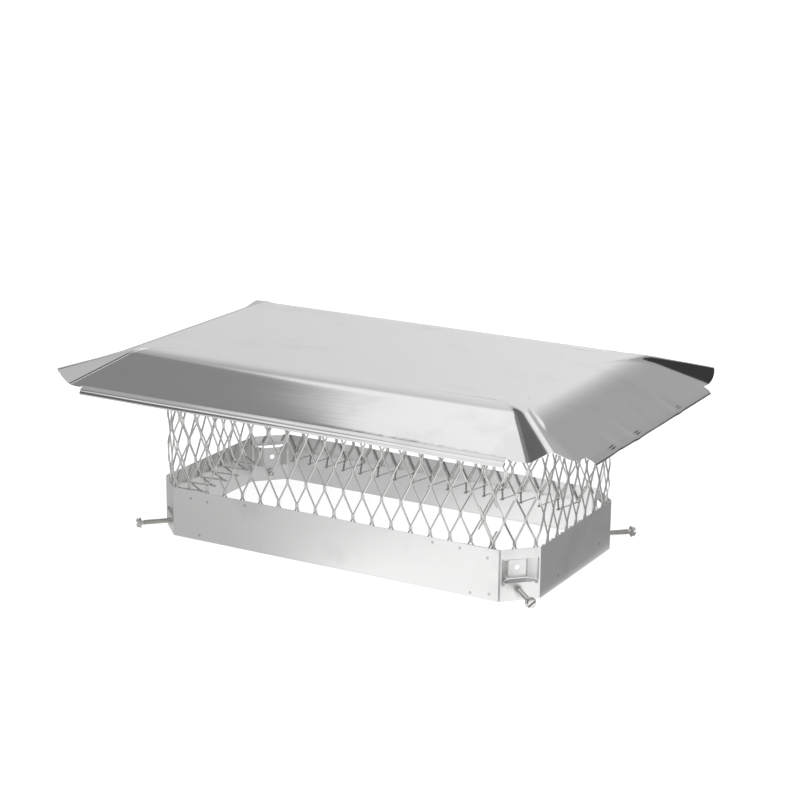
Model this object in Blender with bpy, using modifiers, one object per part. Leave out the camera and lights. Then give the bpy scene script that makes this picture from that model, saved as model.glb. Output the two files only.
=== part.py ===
"""Chimney cap for a rectangular clay flue tile, in sheet stainless steel.

A base band drops over the tile. Lanced bridges in its four cut corners rest on
the tile's top edge, and four screws clamp the tile from outside. A screen of
expanded metal stands inside the band and carries a hood with a creased dart in
each corner and a hemmed drip edge. Units are metres and +Z is up. The origin is
at the middle of the band, on the plane of its bottom rim, with X along the cap.
"""

import math

import bmesh
import bpy
import numpy as np
from mathutils import Matrix, Vector

# Sheets, and the clearance between pieces that touch
BAND_SHEET = 0.0006
HOOD_SHEET = 0.0006
SEAT_GAP = 0.0003

# Base band, measured over its outside
BAND_LENGTH = 0.470
BAND_WIDTH = 0.241
BAND_HEIGHT = 0.0565
CORNER_CUT = 0.0315
BAND_FOLD_RADIUS = 0.0025

# The front panel's end laps over a tab and is spot welded to it. Each weld is
# given by its distance from the lapped fold and its height.
LAP_TAB = 0.042
WELD_SPOTS = ((0.014, 0.046), (0.034, 0.008), (0.012, 0.011))
WELD_DIAMETER = 0.004

# Lanced bridge in each cut corner
BRIDGE_BOTTOM = 0.0215
BRIDGE_TOP = 0.0445
BRIDGE_DEPTH = 0.010
BRIDGE_PANEL = 0.021
BRIDGE_RAMP = 0.0085
BRIDGE_HOLE = 0.0055
LANCE_GAP = 0.0008

# Clamp screws
SCREW_HEIGHT = 0.010
SCREW_DIAMETER = 0.0060
SCREW_LENGTH = 0.038
SCREW_REACH = 0.005
SCREW_POINT = 0.0008
WASHER_DIAMETER = 0.0122
WASHER_THICKNESS = 0.0012
HEAD_ACROSS_FLATS = 0.0095
HEAD_HEIGHT = 0.0036
SLOT_WIDTH = 0.0014
SLOT_DEPTH = 0.0016
COLLAR_LENGTH = 0.0022
COLLAR_WALL = 0.0009

# Expanded metal screen: bonds are the crossings of its strands. To spare facets a
# strand is three-sided, with its flat face out and its ridge in.
BOND_PITCH = 0.0233
ROW_PITCH = 0.0253
WALL_ROWS = 7
BOND_WIDTH = 0.0031
BOND_LENGTH = 0.0046
STRAND_RAISE = 0.0012
STRAND_DEPTH = 0.0018
SCREEN_FOLD_RADIUS = 0.006
SCREEN_SEAT = 0.0207
BOND_PHASE = -0.0038
SCREEN_START = 0.0235
SCREEN_LAP = 0.024
FOOT_DROP = math.radians(8)

# Hood, measured over its outside. The blank's corner is an arc, whose middle reaches
# this far from the flat's corner.
FLAT_LENGTH = 0.470
FLAT_WIDTH = 0.265
END_SKIRT_RUN = 0.0805
SIDE_SKIRT_RUN = 0.0745
END_SKIRT_DROP = 0.0315
SIDE_SKIRT_DROP = 0.0275
CREASE_HALF_WIDTH = 0.007
CORNER_REACH = 0.095
CORNER_RADIUS = 0.063

# Dart in each corner of the hood. Its creases run out from the flat's corner, and
# their directions are turned from the cap's length towards its width.
END_VALLEY = math.radians(32)
END_VALLEY_DESCENT = math.radians(20.5)
RIDGE = math.radians(47)
RIDGE_DESCENT = math.radians(12)
SIDE_VALLEY = math.radians(63)
FLARE_START = math.radians(18)
DART_SOFTNESS = 0.05
DART_ROUNDING = math.radians(4)

# Drip edge: a flange folded down at the eave, with its rim turned back inside
DRIP_OUT = 0.006
DRIP_DOWN = 0.008
HEM_RADIUS = 0.0009
HEM_RETURN = 0.006
SIDE_DRIP_PAST_FLAT = 0.020
END_DRIP_PAST_FLAT = 0.016

# How finely round forms are divided, and the limits used to tidy the meshes
FOLD_STEPS = 2
BRIDGE_RAMP_STEPS = 3
SCREW_SIDES = 12
WELD_SIDES = 6
CUTTER_CLEAR = 0.003
FLAT_WITHIN = math.radians(0.5)
SHARP_FROM = math.radians(30)
SAME_POINT = 0.000001
MIRROR_MERGE = 0.0001

CORNER_NAMES = ("front_right", "back_right", "back_left", "front_left")


def clear_scene():
    for obj in list(bpy.data.objects):
        bpy.data.objects.remove(obj, do_unlink=True)


def make_collection(name):
    collection = bpy.data.collections.new(name)
    bpy.context.scene.collection.children.link(collection)
    return collection


def make_material(name, colour, roughness, metallic=1.0):
    material = bpy.data.materials.new(name)
    material.use_nodes = True
    shader = material.node_tree.nodes["Principled BSDF"]
    shader.inputs["Base Color"].default_value = (*colour, 1.0)
    shader.inputs["Roughness"].default_value = roughness
    shader.inputs["Metallic"].default_value = metallic
    return material


def make_object(name, bm, collection, material=None):
    mesh = bpy.data.meshes.new(name)
    bm.to_mesh(mesh)
    bm.free()
    obj = bpy.data.objects.new(name, mesh)
    collection.objects.link(obj)
    if material:
        mesh.materials.append(material)
    return obj


def make_helper(name, bm, collection):
    """An object that only cuts or joins another."""
    obj = make_object(name, bm, collection)
    obj.hide_render = True
    obj.display_type = "WIRE"
    return obj


def add_solidify(obj, thickness, offset):
    solidify = obj.modifiers.new("sheet", "SOLIDIFY")
    solidify.thickness = thickness
    solidify.offset = offset
    solidify.use_even_offset = True


def add_boolean(obj, operation, tool):
    """Joins or cuts obj with another object, or with all the objects of a collection."""
    boolean = obj.modifiers.new(operation.lower(), "BOOLEAN")
    boolean.operation = operation
    boolean.solver = "EXACT"
    if isinstance(tool, bpy.types.Collection):
        boolean.operand_type = "COLLECTION"
        boolean.collection = tool
    else:
        boolean.object = tool


def shade_by_angle(mesh):
    mesh.shade_smooth()
    mesh.set_sharp_from_angle(angle=SHARP_FROM)


def add_sheet(bm, columns, rows, place):
    """Adds a grid to bm whose vertex at each column and row is at place(column, row)."""
    made = bmesh.ops.create_grid(bm, x_segments=len(columns) - 1, y_segments=len(rows) - 1, size=1)
    for index, vert in enumerate(made["verts"]):
        row, column = divmod(index, len(columns))
        vert.co = place(columns[column], rows[row])


def add_rod(bm, start, end, radius, sides):
    """Adds a closed cylinder to bm between two points."""
    axis = Vector(end) - Vector(start)
    turn = axis.to_track_quat("Z", "Y").to_matrix().to_4x4()
    bmesh.ops.create_cone(
        bm,
        cap_ends=True,
        segments=sides,
        radius1=radius,
        radius2=radius,
        depth=axis.length,
        matrix=Matrix.Translation((Vector(start) + Vector(end)) / 2) @ turn,
    )


class RingPath:
    """The band's eight-sided outline, offset inwards, walked anticlockwise from mid-front."""

    def __init__(self, inset, fold_radius):
        half_length = BAND_LENGTH / 2 - inset
        half_width = BAND_WIDTH / 2 - inset
        cut = CORNER_CUT - inset * (2 - math.sqrt(2))
        trim = fold_radius * math.tan(math.pi / 8)
        self.start = Vector((0, -half_width))
        self.fold_radius = fold_radius
        self.fold = fold_radius * math.pi / 4
        self.long = 2 * (half_length - cut - trim)
        self.short = 2 * (half_width - cut - trim)
        self.corner = cut * math.sqrt(2) - 2 * trim
        half_front = [self.long / 2]
        turn = [self.fold, self.corner, self.fold]
        right_and_back = turn + [self.short] + turn + [self.long]
        left = turn + [self.short] + turn
        self.lengths = half_front + right_and_back + left + half_front
        self.total = sum(self.lengths)

    def corner_start(self, index):
        """Distance to the start of a cut corner's flat; corner 0 is at the front right."""
        return sum(self.lengths[: 2 + 4 * index])

    def at(self, distance):
        """The point and the outward normal at a distance along the outline."""
        left = distance % self.total
        point = self.start.copy()
        heading = 0.0
        for index, length in enumerate(self.lengths):
            walked = min(left, length)
            if index % 2:
                swing = walked / self.fold_radius
                chord = 2 * self.fold_radius * math.sin(swing / 2)
                way = heading + swing / 2
                point += chord * Vector((math.cos(way), math.sin(way)))
                heading += swing
            else:
                point += walked * Vector((math.cos(heading), math.sin(heading)))
            left -= walked
            if left <= 0:
                break
        return point, Vector((math.sin(heading), -math.cos(heading)))


OUTLINE = RingPath(0, BAND_FOLD_RADIUS)
BRIDGE_MARGIN = (OUTLINE.corner - BRIDGE_PANEL) / 2 - BRIDGE_RAMP


def corner_frame(index):
    """The middle of a cut corner's outer face at rim height, and its outward normal."""
    point, outward = OUTLINE.at(OUTLINE.corner_start(index) + OUTLINE.corner / 2)
    return point.to_3d(), outward.to_3d()


def smooth_step(share):
    share = min(max(share, 0.0), 1.0)
    return share * share * (3 - 2 * share)


def bridge_depth(distance):
    """How far a bridge stands in from the band's face at a distance along the outline."""
    for corner in range(4):
        along = distance - OUTLINE.corner_start(corner) - BRIDGE_MARGIN
        back = 2 * BRIDGE_RAMP + BRIDGE_PANEL - along
        if along > 0 and back > 0:
            return BRIDGE_DEPTH * smooth_step(min(along, back) / BRIDGE_RAMP)
    return 0.0


def band_columns():
    """Distances along the outline at which the band's sheet has a column of points."""
    columns = [OUTLINE.long / 2 - LAP_TAB]
    ramp = np.linspace(BRIDGE_MARGIN, BRIDGE_MARGIN + BRIDGE_RAMP, BRIDGE_RAMP_STEPS + 1).tolist()
    for corner in range(4):
        start = OUTLINE.corner_start(corner)
        end = start + OUTLINE.corner
        columns += np.linspace(start - OUTLINE.fold, start, FOLD_STEPS + 1).tolist()
        columns += [start + along for along in ramp]
        columns += [end - along for along in reversed(ramp)]
        columns += np.linspace(end, end + OUTLINE.fold, FOLD_STEPS + 1).tolist()
    columns.append(OUTLINE.total + OUTLINE.long / 2)
    return columns


def band_heights():
    """Heights of the rows of points: the rims, and the two sides of each lanced slit."""
    half_gap = LANCE_GAP / 2
    lower = [BRIDGE_BOTTOM - half_gap, BRIDGE_BOTTOM + half_gap]
    upper = [BRIDGE_TOP - half_gap, BRIDGE_TOP + half_gap]
    return [0.0, *lower, *upper, BAND_HEIGHT]


def band_point(distance, height):
    """A point of the band's outer face. The front panel leans out to pass over the tab."""
    point, outward = OUTLINE.at(distance)
    in_bridge = BRIDGE_BOTTOM < height < BRIDGE_TOP
    shift = -bridge_depth(distance) if in_bridge else 0.0
    last_panel = OUTLINE.total - OUTLINE.long / 2
    lean = max(0.0, (distance - last_panel) / OUTLINE.long)
    shift += lean * (BAND_SHEET + SEAT_GAP)
    return (point + shift * outward).to_3d() + Vector((0, 0, height))


def make_band_sheet(collection, material):
    """The band folded round the ring, with a slit above and below each bridge."""
    columns = band_columns()
    bm = bmesh.new()
    add_sheet(bm, columns, band_heights(), band_point)
    slit_rows = (1, 3)
    slits = []
    for index, face in enumerate(bm.faces):
        row, column = divmod(index, len(columns) - 1)
        middle = (columns[column] + columns[column + 1]) / 2
        if row in slit_rows and bridge_depth(middle) > 0:
            slits.append(face)
    bmesh.ops.delete(bm, geom=slits, context="FACES")
    bmesh.ops.dissolve_limit(bm, angle_limit=FLAT_WITHIN, verts=bm.verts, edges=bm.edges)
    band = make_object("base_band", bm, collection, material)
    add_solidify(band, BAND_SHEET, -1)
    return band


def make_corner_rods(name, height, outer, inner, radius, collection):
    """A rod square through each cut corner, from outer beyond its face to inner behind it."""
    bm = bmesh.new()
    for corner in range(4):
        middle, outward = corner_frame(corner)
        axis = middle + Vector((0, 0, height))
        add_rod(bm, axis + outer * outward, axis - inner * outward, radius, SCREW_SIDES)
    return make_helper(name, bm, collection)


def make_weld_nuggets(collection):
    """The spot welds that join the lapped end of the front panel to the tab behind it."""
    bm = bmesh.new()
    for from_fold, height in WELD_SPOTS:
        point, outward = OUTLINE.at(OUTLINE.long / 2 - from_fold)
        spot = point.to_3d() + Vector((0, 0, height))
        outer = spot + (SEAT_GAP + BAND_SHEET / 2) * outward.to_3d()
        inner = spot - BAND_SHEET * outward.to_3d()
        add_rod(bm, outer, inner, WELD_DIAMETER / 2, WELD_SIDES)
    return make_helper("weld_nuggets", bm, collection)


def make_base_band(collection, joiners, cutters, material):
    band = make_band_sheet(collection, material)
    hole_radius = SCREW_DIAMETER / 2 + SEAT_GAP
    collar_radius = hole_radius + COLLAR_WALL
    collar_end = BAND_SHEET + COLLAR_LENGTH
    make_corner_rods("screw_collars", SCREW_HEIGHT, -BAND_SHEET / 2, collar_end, collar_radius, joiners)
    make_weld_nuggets(joiners)
    add_boolean(band, "UNION", joiners)

    hole_end = collar_end + CUTTER_CLEAR
    make_corner_rods("screw_holes", SCREW_HEIGHT, CUTTER_CLEAR, hole_end, hole_radius, cutters)
    panel_middle = (BRIDGE_BOTTOM + BRIDGE_TOP) / 2
    panel_front = CUTTER_CLEAR - BRIDGE_DEPTH
    panel_back = BRIDGE_DEPTH + BAND_SHEET + CUTTER_CLEAR
    make_corner_rods("bridge_holes", panel_middle, panel_front, panel_back, BRIDGE_HOLE / 2, cutters)
    add_boolean(band, "DIFFERENCE", cutters)
    shade_by_angle(band.data)


def make_screw_shank(collection, material):
    """Shank and washer, turned from half a profile."""
    radius = SCREW_DIAMETER / 2
    profile = [
        (0, -SCREW_LENGTH),
        (radius - SCREW_POINT, -SCREW_LENGTH),
        (radius, SCREW_POINT - SCREW_LENGTH),
        (radius, 0),
        (WASHER_DIAMETER / 2, 0),
        (WASHER_DIAMETER / 2, WASHER_THICKNESS),
        (0, WASHER_THICKNESS),
    ]
    bm = bmesh.new()
    points = [bm.verts.new((r, 0, z)) for r, z in profile]
    edges = [bm.edges.new(pair) for pair in zip(points, points[1:])]
    bmesh.ops.spin(
        bm,
        geom=points + edges,
        cent=(0, 0, 0),
        axis=(0, 0, 1),
        angle=2 * math.pi,
        steps=SCREW_SIDES,
        use_merge=True,
    )
    bmesh.ops.remove_doubles(bm, verts=bm.verts, dist=SAME_POINT)
    bmesh.ops.recalc_face_normals(bm, faces=bm.faces)
    return make_object("screw", bm, collection, material)


def make_screw_mesh(collection, cutters, material):
    """One screw with its axis on Z, its washer's under face at the origin and its tip below."""
    screw = make_screw_shank(collection, material)
    across_corners = HEAD_ACROSS_FLATS / math.cos(math.pi / 6)
    head_top = WASHER_THICKNESS + HEAD_HEIGHT
    bm = bmesh.new()
    add_rod(bm, (0, 0, WASHER_THICKNESS / 2), (0, 0, head_top), across_corners / 2, 6)
    head = make_helper("hex_head", bm, cutters)
    add_boolean(screw, "UNION", head)

    bm = bmesh.new()
    bmesh.ops.create_cube(bm, size=1)
    bmesh.ops.scale(bm, verts=bm.verts, vec=(2 * across_corners, SLOT_WIDTH, 2 * SLOT_DEPTH))
    bmesh.ops.translate(bm, verts=bm.verts, vec=(0, 0, head_top))
    slot = make_helper("slot", bm, cutters)
    add_boolean(screw, "DIFFERENCE", slot)

    graph = bpy.context.evaluated_depsgraph_get()
    mesh = bpy.data.meshes.new_from_object(screw.evaluated_get(graph))
    mesh.name = "clamp_screw"
    for obj in (screw, head, slot):
        bpy.data.objects.remove(obj, do_unlink=True)
    shade_by_angle(mesh)
    return mesh


def make_clamp_screws(collection, cutters, material):
    mesh = make_screw_mesh(collection, cutters, material)
    for corner, name in enumerate(CORNER_NAMES):
        middle, outward = corner_frame(corner)
        screw = bpy.data.objects.new("clamp_screw_" + name, mesh)
        under_washer = SCREW_LENGTH - SCREW_REACH
        screw.location = middle + under_washer * outward + Vector((0, 0, SCREW_HEIGHT))
        screw.rotation_euler = outward.to_track_quat("Z", "Y").to_euler()
        collection.objects.link(screw)


SCREEN_INSET = BAND_SHEET + SEAT_GAP + STRAND_RAISE
SCREEN_OUTLINE = RingPath(SCREEN_INSET, SCREEN_FOLD_RADIUS)
SCREEN_FOOT = BAND_HEIGHT - SCREEN_SEAT
WALL_TOP = WALL_ROWS * ROW_PITCH
SCREEN_HEAD = SCREEN_FOOT + WALL_TOP


def screen_point(along, up, raised):
    """A point of the screen, from its place on the strip before the strip is folded.

    along runs round the ring from the strip's start, up from the lower fold, and
    raised is the height over the strip's outer face.
    """
    start = SCREEN_OUTLINE.long / 2 - SCREEN_START
    lapped = smooth_step((along - SCREEN_OUTLINE.total + BOND_PITCH) / BOND_PITCH)
    inward = lapped * (STRAND_RAISE + STRAND_DEPTH + SEAT_GAP)
    height = SCREEN_FOOT + min(max(up, 0.0), WALL_TOP)
    if up < 0:
        inward -= up * math.cos(FOOT_DROP)
        height += up * math.sin(FOOT_DROP)
    elif up > WALL_TOP:
        inward += up - WALL_TOP
    if 0 <= up <= WALL_TOP:
        inward -= raised
    if up <= 0:
        height -= raised
    elif up >= WALL_TOP:
        height += raised
    point, outward = SCREEN_OUTLINE.at(start + along)
    return (point - inward * outward).to_3d() + Vector((0, 0, height))


def on_straight_side(along, margin):
    """Whether a place on the strip lies on one of the four main sides, clear of its folds."""
    place = (along + SCREEN_OUTLINE.long / 2 - SCREEN_START) % SCREEN_OUTLINE.total
    fold = SCREEN_OUTLINE.fold
    for corner in range(4):
        start = SCREEN_OUTLINE.corner_start(corner) - fold - margin
        end = SCREEN_OUTLINE.corner_start(corner) + SCREEN_OUTLINE.corner + fold + margin
        if start < place < end:
            return False
    return True


def bond_place(row, column):
    """How far along and up the strip a bond's middle lies."""
    start = SCREEN_OUTLINE.long / 2 - SCREEN_START
    first = (BOND_PHASE - start) % BOND_PITCH
    return first + (column + 0.5 * (row % 2)) * BOND_PITCH, row * ROW_PITCH


def bond_corners(row, column):
    """The bottom, right, top and left points of one bond, and the ridge point behind it."""
    along, up = bond_place(row, column)
    raised = STRAND_RAISE if 0 < row < WALL_ROWS else 0.0
    return {
        "bottom": screen_point(along, up - BOND_LENGTH / 2, 0),
        "right": screen_point(along + BOND_WIDTH / 2, up, raised),
        "top": screen_point(along, up + BOND_LENGTH / 2, 0),
        "left": screen_point(along - BOND_WIDTH / 2, up, -raised),
        "ridge": screen_point(along, up, -STRAND_DEPTH),
    }


def bond_exists(row, along):
    length = SCREEN_OUTLINE.total + SCREEN_LAP
    if not BOND_WIDTH < along < length - BOND_WIDTH:
        return False
    if row in (-1, WALL_ROWS + 1):
        return on_straight_side(along, ROW_PITCH * math.tan(math.pi / 8))
    return row > 0 or on_straight_side(along, 0)


def add_strand(bm, bonds, ridges, places, below, above, lean):
    """The strand up from one bond to the next, cut off half way where a bond is missing."""
    sides = (("top", "left"), ("right", "bottom")) if lean else (("left", "bottom"), ("top", "right"))
    low = [bonds[below][side[0]] for side in sides] if below in bonds else None
    high = [bonds[above][side[1]] for side in sides] if above in bonds else None
    if not (low and high):
        cut = [bm.verts.new((places[below][side[0]] + places[above][side[1]]) / 2) for side in sides]
        ridge = bm.verts.new((places[below]["ridge"] + places[above]["ridge"]) / 2)
        ridges.update({vert: ridge for vert in cut})
        low = low or cut
        high = high or cut
    bm.faces.new((low[0], low[1], high[1], high[0]))


def make_mesh_screen(collection, material):
    """A strip of expanded metal: a lattice of bonds and strands, folded round the ring."""
    bm = bmesh.new()
    columns = range(-1, int((SCREEN_OUTLINE.total + SCREEN_LAP) / BOND_PITCH) + 2)
    rows = range(-1, WALL_ROWS + 2)
    places = {(row, column): bond_corners(row, column) for row in rows for column in columns}
    bonds = {}
    ridges = {}
    for key, corners in places.items():
        if not bond_exists(key[0], bond_place(*key)[0]):
            continue
        bond = {side: bm.verts.new(point) for side, point in corners.items()}
        ridges.update({vert: bond["ridge"] for side, vert in bond.items() if side != "ridge"})
        bm.faces.new((bond["bottom"], bond["right"], bond["left"]))
        bm.faces.new((bond["right"], bond["top"], bond["left"]))
        bonds[key] = bond
    for row in rows[:-1]:
        for column in columns:
            for lean in (0, 1):
                below = (row, column)
                above = (row + 1, column + lean - (row + 1) % 2)
                whole = [key for key in (below, above) if key in bonds]
                in_wall = 0 <= row < WALL_ROWS
                if above in places and (len(whole) == 2 or (whole and in_wall)):
                    add_strand(bm, bonds, ridges, places, below, above, lean)
    rims = [edge for edge in bm.edges if edge.is_boundary]
    for rim in rims:
        first, second = (loop.vert for loop in (rim.link_loops[0], rim.link_loops[0].link_loop_next))
        behind = dict.fromkeys((ridges[first], ridges[second]))
        bm.faces.new((second, first, *behind))
    return make_object("mesh_screen", bm, collection, material)


def soft_max(a, b, width):
    """The larger of two heights, with the corner between them rounded over a width."""
    overlap = max(width - abs(a - b), 0.0)
    return max(a, b) + (overlap * overlap / (4 * width) if width > 0 else 0.0)


def soft_min(a, b, width):
    return -soft_max(-a, -b, width)


def plane_slopes(first, second):
    """The slopes in x and y of the plane through the flat's corner and two lines out of it.

    Each line is given by its direction in plan and its descent.
    """
    ways = [(math.cos(direction), math.sin(direction)) for direction, _ in (first, second)]
    drops = [math.tan(descent) for _, descent in (first, second)]
    return Vector(np.linalg.solve(np.array(ways), np.array(drops)).tolist())


FLAT_CORNER = Vector((FLAT_LENGTH / 2, FLAT_WIDTH / 2))
END_SLOPE = END_SKIRT_DROP / END_SKIRT_RUN
SIDE_SLOPE = SIDE_SKIRT_DROP / SIDE_SKIRT_RUN
FLARE_LINE = (FLARE_START, math.atan(END_SLOPE * math.cos(FLARE_START)))
END_VALLEY_LINE = (END_VALLEY, END_VALLEY_DESCENT)
RIDGE_LINE = (RIDGE, RIDGE_DESCENT)
SIDE_VALLEY_LINE = (SIDE_VALLEY, math.atan(SIDE_SLOPE * math.sin(SIDE_VALLEY)))
END_FLARE = plane_slopes(FLARE_LINE, END_VALLEY_LINE)
END_DART = plane_slopes(END_VALLEY_LINE, RIDGE_LINE)
SIDE_DART = plane_slopes(RIDGE_LINE, SIDE_VALLEY_LINE)


def hood_drop(plan):
    """How far the hood's outer face lies below its flat, at a plan point of the first quadrant."""
    out = plan - FLAT_CORNER
    softness = DART_SOFTNESS * out.length
    end_skirt = max(END_SLOPE * out.x, END_FLARE.dot(out))
    skirts = max(end_skirt, SIDE_SLOPE * out.y)
    dart = soft_max(END_DART.dot(out), SIDE_DART.dot(out), softness)
    creased = soft_min(skirts, dart, softness)
    return soft_max(creased, 0.0, CREASE_HALF_WIDTH * END_SLOPE)


CROWN_OVER_END = hood_drop(Vector((BAND_LENGTH / 2 - SCREEN_INSET, 0)))
CROWN_OVER_SIDE = hood_drop(Vector((0, BAND_WIDTH / 2 - SCREEN_INSET)))
HOOD_TOP = SCREEN_HEAD + SEAT_GAP + HOOD_SHEET + max(CROWN_OVER_END, CROWN_OVER_SIDE)


def hood_point(plan):
    return Vector((plan.x, plan.y, HOOD_TOP - hood_drop(plan)))


def blank_reach(angle):
    """Distance over the sheet from the flat's corner to the blank's edge, in a direction."""
    centre = CORNER_REACH - CORNER_RADIUS
    turned = angle - math.pi / 4
    return centre * math.cos(turned) + math.sqrt(CORNER_RADIUS**2 - (centre * math.sin(turned)) ** 2)


def corner_edge(angle):
    """The plan point of the blank's rounded corner in a direction from the flat's corner."""
    way = Vector((math.cos(angle), math.sin(angle)))
    slope = hood_drop(FLAT_CORNER + way * CORNER_REACH) / CORNER_REACH
    return FLAT_CORNER + way * blank_reach(angle) / math.hypot(1, slope)


EAVE_CORNER = FLAT_CORNER + Vector((END_SKIRT_RUN, SIDE_SKIRT_RUN))
END_DRIP_END = Vector((EAVE_CORNER.x, FLAT_CORNER.y + END_DRIP_PAST_FLAT))
SIDE_DRIP_END = Vector((FLAT_CORNER.x + SIDE_DRIP_PAST_FLAT, EAVE_CORNER.y))
CORE_INSET = 2 * CREASE_HALF_WIDTH
CORE = FLAT_CORNER - Vector((CORE_INSET, CORE_INSET))
APRON_WIDTH = 0.009


def corner_angles():
    """Directions from the flat's corner to the stations of the blank's corner arc."""
    angles = []
    for crease in (END_VALLEY, RIDGE, SIDE_VALLEY):
        angles += [crease - DART_ROUNDING, crease, crease + DART_ROUNDING]
    return angles


def eave_points():
    """The plan points along one quadrant's eave, from the end's middle to the side's middle."""
    edges = [corner_edge(angle) for angle in corner_angles()]
    corner = [edge - APRON_WIDTH * (edge - FLAT_CORNER).normalized() for edge in edges]
    end = [Vector((EAVE_CORNER.x, 0)), Vector((EAVE_CORNER.x, CORE.y)), END_DRIP_END]
    side = [SIDE_DRIP_END, Vector((CORE.x, EAVE_CORNER.y)), Vector((0, EAVE_CORNER.y))]
    return end, corner, side


def ray_point(eave, offset):
    """Where the line from the flat's core to an eave point passes an offset from the flat's edge."""
    nearest = Vector((min(eave.x, CORE.x), min(eave.y, CORE.y)))
    way = (eave - nearest).normalized()
    start = nearest + way * CREASE_HALF_WIDTH / 2
    shares = [1.0]
    for axis in (0, 1):
        run = eave[axis] - start[axis]
        if run > 0:
            shares.append((FLAT_CORNER[axis] + offset - start[axis]) / run)
    return start + (eave - start) * min(max(min(shares), 0.0), 1.0)


def add_hood_top(bm, eave):
    """One quadrant of the flat and its skirts, from the hood's middle out to the eave."""
    offsets = [-CORE_INSET, -CREASE_HALF_WIDTH, 0, CREASE_HALF_WIDTH, END_SKIRT_RUN]
    add_sheet(bm, eave, offsets, lambda point, offset: hood_point(ray_point(point, offset)))
    core_rim = list(bm.verts)[: len(eave)]
    middle = bm.verts.new((0, 0, HOOD_TOP))
    bm.faces.new([middle, *core_rim])


def add_apron(bm, end, corner, side):
    """The rounded tongue of the blank's corner, from one drip edge's end to the other's."""
    inner = [end[-1], *corner, side[0]]
    outer = [end[-1], *(corner_edge(angle) for angle in corner_angles()), side[0]]
    add_sheet(bm, range(len(inner)), (inner, outer), lambda station, row: hood_point(row[station]))


def drip_profile():
    """The drip edge's section from the eave, as steps outwards and upwards."""
    down = Vector((DRIP_OUT, -DRIP_DOWN)).normalized()
    inwards = Vector((down.y, -down.x))
    rim = Vector((DRIP_OUT, -DRIP_DOWN))
    turned = rim + HEM_RADIUS * (down + inwards)
    returned = rim + 2 * HEM_RADIUS * inwards
    return [Vector((0, 0)), rim, turned, returned, returned - HEM_RETURN * down]


def add_drips(bm, end, side):
    def end_drip(plan, step):
        return hood_point(plan) + Vector((step.x, 0, step.y))

    def side_drip(plan, step):
        return hood_point(plan) + Vector((0, step.x, step.y))

    add_sheet(bm, end, drip_profile(), end_drip)
    add_sheet(bm, side, drip_profile(), side_drip)


def make_hood(collection, material):
    """One quadrant of the folded sheet, mirrored both ways and given its thickness."""
    end, corner, side = eave_points()
    bm = bmesh.new()
    add_hood_top(bm, end + corner + side)
    add_apron(bm, end, corner, side)
    add_drips(bm, end, side)
    bmesh.ops.remove_doubles(bm, verts=bm.verts, dist=SAME_POINT)
    bmesh.ops.recalc_face_normals(bm, faces=bm.faces)
    top = max(bm.faces, key=lambda face: face.calc_center_median().z)
    if top.normal.z < 0:
        bmesh.ops.reverse_faces(bm, faces=bm.faces)
    hood = make_object("hood", bm, collection, material)
    mirror = hood.modifiers.new("quadrants", "MIRROR")
    mirror.use_axis = (True, True, False)
    mirror.merge_threshold = MIRROR_MERGE
    add_solidify(hood, HOOD_SHEET, -1)
    shade_by_angle(hood.data)


def main():
    clear_scene()
    parts = make_collection("chimney_cap")
    joiners = make_collection("chimney_cap_joiners")
    cutters = make_collection("chimney_cap_cutters")
    stainless = make_material("brushed_stainless", (0.78, 0.78, 0.77), 0.28)
    hood_steel = make_material("hood_stainless", (0.80, 0.80, 0.80), 0.26)
    expanded = make_material("expanded_stainless", (0.72, 0.72, 0.71), 0.35)
    zinc = make_material("plated_screw_steel", (0.70, 0.70, 0.68), 0.30)
    make_clamp_screws(parts, cutters, zinc)
    make_base_band(parts, joiners, cutters, stainless)
    make_mesh_screen(parts, expanded)
    make_hood(parts, hood_steel)


main()
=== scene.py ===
"""Looks of the chimney cap: hood, expanded screen, base band and clamp screws in steel.

Everything stands in the frame of the CAD model: metres, +Z up, the origin at the
middle of the band on the plane of its bottom rim, +X along the cap.
"""

import math

import bmesh
import bpy
import numpy as np
from mathutils import Matrix, Vector, noise


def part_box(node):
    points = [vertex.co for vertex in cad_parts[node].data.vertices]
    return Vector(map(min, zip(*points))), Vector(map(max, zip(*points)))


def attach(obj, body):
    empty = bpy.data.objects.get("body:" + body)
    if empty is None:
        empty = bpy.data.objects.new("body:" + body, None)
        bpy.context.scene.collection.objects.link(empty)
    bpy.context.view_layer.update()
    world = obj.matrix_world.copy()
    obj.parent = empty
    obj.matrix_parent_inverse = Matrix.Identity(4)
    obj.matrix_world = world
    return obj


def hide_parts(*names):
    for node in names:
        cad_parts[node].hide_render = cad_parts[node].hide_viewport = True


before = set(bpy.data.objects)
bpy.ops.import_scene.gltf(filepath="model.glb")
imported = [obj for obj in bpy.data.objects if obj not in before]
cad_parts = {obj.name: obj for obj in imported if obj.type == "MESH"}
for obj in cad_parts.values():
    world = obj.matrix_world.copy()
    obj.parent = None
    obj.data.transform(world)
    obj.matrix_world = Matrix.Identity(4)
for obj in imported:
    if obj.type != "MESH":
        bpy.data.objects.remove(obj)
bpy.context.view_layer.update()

# Sheets, and the clearance between pieces that touch
BAND_SHEET = 0.0006
HOOD_SHEET = 0.0006
SEAT_GAP = 0.0003

# Base band, measured over its outside
BAND_LENGTH = 0.470
BAND_WIDTH = 0.241
BAND_HEIGHT = 0.0565
CORNER_CUT = 0.0315
BAND_FOLD_RADIUS = 0.0025
LAP_TAB = 0.042

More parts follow.
